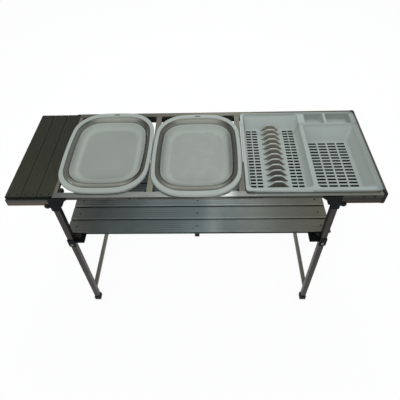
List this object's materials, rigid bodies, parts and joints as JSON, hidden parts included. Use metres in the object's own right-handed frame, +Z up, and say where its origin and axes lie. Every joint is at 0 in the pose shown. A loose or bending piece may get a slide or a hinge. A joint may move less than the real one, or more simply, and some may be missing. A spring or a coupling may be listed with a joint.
{
  "type": "camping wash-up stand",
  "caption": "Folding camp kitchen stand: bright frame holding collapsible wash bowls and a drainer, slatted side worktop, slatted lower shelf, folding legs.",
  "frame": {"origin": "on the floor under the middle of the stand's overall length and depth", "axes": "+X to the user's right along the length, -Y the front where the user stands, +Z up"},
  "size_m": [1.21, 0.449, 0.688],
  "materials": {
    "bright_frame": "satin anodised",
    "member_tube": "satin",
    "dark_tube": "dark satin anodised",
    "worktop": "dark matte anodised, fine lengthwise grooves",
    "shelf": "dark matte anodised, fine lengthwise grooves",
    "black_plastic": "matte black",
    "black_bracket": "black powder coat",
    "fasteners": "plain",
    "screws": "blackened",
    "rubber_feet": "matte",
    "bowl_rim": "moulded grey-green, low sheen",
    "bowl_soft": "soft moulded grey-green",
    "drainer": "moulded grey-green, low sheen"
  },
  "bodies": {
    "frame": {"front_rail": "bright_frame", "back_rail": "bright_frame", "left_end_rail": "bright_frame", "right_end_rail": "bright_frame", "cross_member_1": "member_tube", "cross_member_2": "member_tube", "member_connectors": "black_plastic", "corner_caps": "black_plastic", "worktop_slat_caps": "black_plastic", "bearer_front_left": "dark_tube", "bearer_back_left": "dark_tube", "bearer_front_right": "dark_tube", "bearer_back_right": "dark_tube", "worktop_slat_1": "worktop", "worktop_slat_2": "worktop", "worktop_slat_3": "worktop", "leg_bracket_front_left": "black_bracket", "leg_bracket_back_left": "black_bracket", "leg_bracket_front_right": "black_bracket", "leg_bracket_back_right": "black_bracket", "post_front_left": "dark_tube", "post_back_left": "dark_tube", "post_front_right": "dark_tube", "post_back_right": "dark_tube", "shelf_slat_1": "shelf", "shelf_slat_2": "shelf", "shelf_slat_3": "shelf", "shelf_slat_4": "shelf", "shelf_slat_5": "shelf", "shelf_slat_6": "shelf", "shelf_crossbar_left": "dark_tube", "shelf_crossbar_middle": "dark_tube", "shelf_crossbar_right": "dark_tube", "elbow_bracket_front_left": "black_bracket", "elbow_bracket_back_left": "black_bracket", "elbow_bracket_front_right": "black_bracket", "elbow_bracket_back_right": "black_bracket", "hinge_pins": "fasteners", "frame_screws": "screws", "rivets": "fasteners"},
    "left_leg_frame": {"leg_front_left": "dark_tube", "leg_back_left": "dark_tube", "spreader_left": "dark_tube", "feet_left": "rubber_feet"},
    "right_leg_frame": {"leg_front_right": "dark_tube", "leg_back_right": "dark_tube", "spreader_right": "dark_tube", "feet_right": "rubber_feet"},
    "bowl_1_top": {"bowl_1_rim": "bowl_rim", "bowl_1_soft_wall": "bowl_soft"},
    "bowl_1_fold": {"bowl_1_fold_band": "bowl_soft"},
    "bowl_1_bottom": {"bowl_1_base_pan": "bowl_rim", "bowl_1_pan_floor": "bowl_rim"},
    "bowl_2_top": {"bowl_2_rim": "bowl_rim", "bowl_2_soft_wall": "bowl_soft"},
    "bowl_2_fold": {"bowl_2_fold_band": "bowl_soft"},
    "bowl_2_bottom": {"bowl_2_base_pan": "bowl_rim", "bowl_2_pan_floor": "bowl_rim"},
    "drainer": {"drainer_tray": "drainer", "plate_ribs": "drainer"}
  },
  "joints": [
    {"name": "left_leg_fold", "type": "hinge", "parent": "frame", "child": "left_leg_frame", "pos_m": [-0.4535, 0, 0.4255], "axis": [0, -1, 0], "range_deg": [0, 90]},
    {"name": "right_leg_fold", "type": "hinge", "parent": "frame", "child": "right_leg_frame", "pos_m": [0.4535, 0, 0.4255], "axis": [0, 1, 0], "range_deg": [0, 90]},
    {"name": "bowl_1_lift", "type": "slide", "parent": "frame", "child": "bowl_1_top", "axis": [0, 0, 1], "range_m": [0, 0.16]},
    {"name": "bowl_1_open", "type": "slide", "parent": "bowl_1_top", "child": "bowl_1_bottom", "axis": [0, 0, -1], "range_m": [0, 0.085]},
    {"name": "bowl_1_roll", "type": "slide", "parent": "bowl_1_top", "child": "bowl_1_fold", "axis": [0, 0, -1], "range_m": [0, 0.0425]},
    {"name": "bowl_2_lift", "type": "slide", "parent": "frame", "child": "bowl_2_top", "axis": [0, 0, 1], "range_m": [0, 0.16]},
    {"name": "bowl_2_open", "type": "slide", "parent": "bowl_2_top", "child": "bowl_2_bottom", "axis": [0, 0, -1], "range_m": [0, 0.085]},
    {"name": "bowl_2_roll", "type": "slide", "parent": "bowl_2_top", "child": "bowl_2_fold", "axis": [0, 0, -1], "range_m": [0, 0.0425]},
    {"name": "drainer_lift", "type": "slide", "parent": "frame", "child": "drainer", "axis": [0, 0, 1], "range_m": [0, 0.1]}
  ],
  "couplings": [
    {"joint": "bowl_1_roll", "follows": "bowl_1_open", "ratio": 0.5},
    {"joint": "bowl_2_roll", "follows": "bowl_2_open", "ratio": 0.5}
  ]
}
